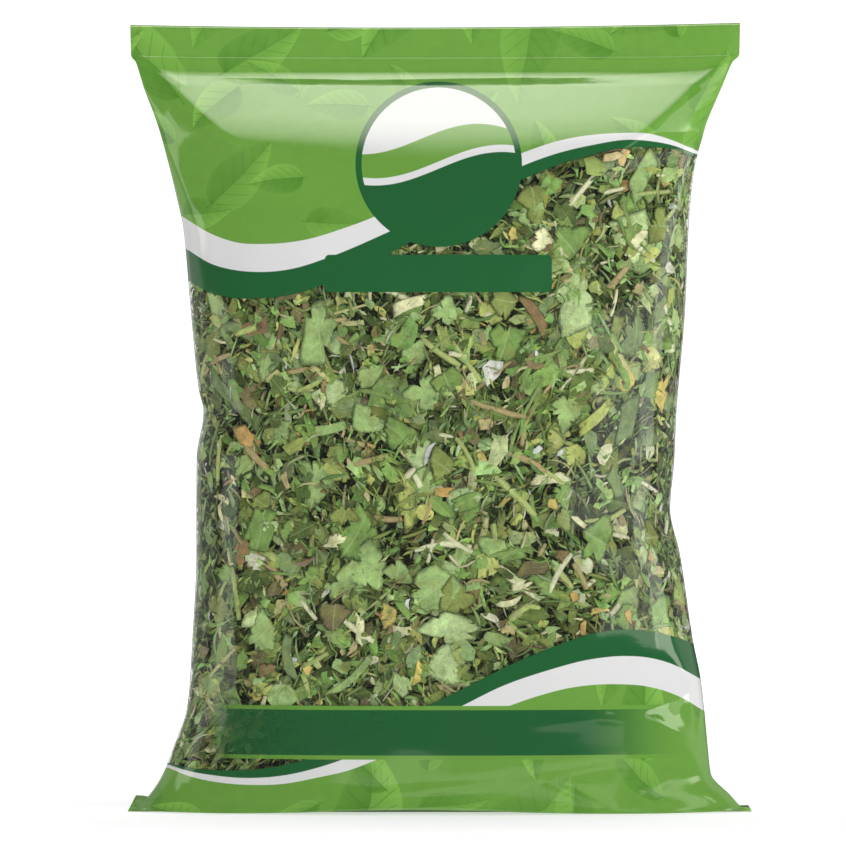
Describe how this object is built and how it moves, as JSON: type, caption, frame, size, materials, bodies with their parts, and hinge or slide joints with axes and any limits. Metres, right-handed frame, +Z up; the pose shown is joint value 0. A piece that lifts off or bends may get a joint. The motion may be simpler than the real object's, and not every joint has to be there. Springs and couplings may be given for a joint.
{
  "type": "pillow bag of dried coriander leaf",
  "caption": "Sealed pillow bag of clear printed film, full of crushed dried coriander leaf, standing upright on its folded bottom.",
  "frame": {"origin": "on the floor under the middle of the bag, on the flat of its folded bottom", "axes": "+X to the right across the printed front, +Y from the front to the back, +Z up from the bottom seal to the top seal"},
  "size_m": [0.1624, 0.0576, 0.206],
  "materials": {
    "printed_film": "clear gloss film, printed green with a clear window",
    "leaf_mass": "dry crushed leaf, matte",
    "leaf_piece": "dry leaf, matte",
    "stem": "dry cut stem, matte"
  },
  "bodies": {
    "root": {"bag_film": "printed_film", "leaf_fill": "leaf_mass", "leaf_piece_01": "leaf_piece", "leaf_piece_02": "leaf_piece", "leaf_piece_03": "leaf_piece", "leaf_piece_04": "leaf_piece", "leaf_piece_05": "leaf_piece", "leaf_piece_06": "leaf_piece", "leaf_piece_07": "leaf_piece", "leaf_piece_08": "leaf_piece", "leaf_piece_09": "leaf_piece", "leaf_piece_10": "leaf_piece", "leaf_piece_11": "leaf_piece", "leaf_piece_12": "leaf_piece", "leaf_piece_13": "leaf_piece", "leaf_piece_14": "leaf_piece", "leaf_piece_15": "leaf_piece", "leaf_piece_16": "leaf_piece", "stem_piece_01": "stem", "stem_piece_02": "stem", "stem_piece_03": "stem", "stem_piece_04": "stem", "stem_piece_05": "stem", "stem_piece_06": "stem", "stem_piece_07": "stem", "stem_piece_08": "stem", "stem_piece_09": "stem", "stem_piece_10": "stem", "stem_piece_11": "stem", "stem_piece_12": "stem", "stem_piece_13": "stem", "stem_piece_14": "stem"}
  },
  "joints": []
}
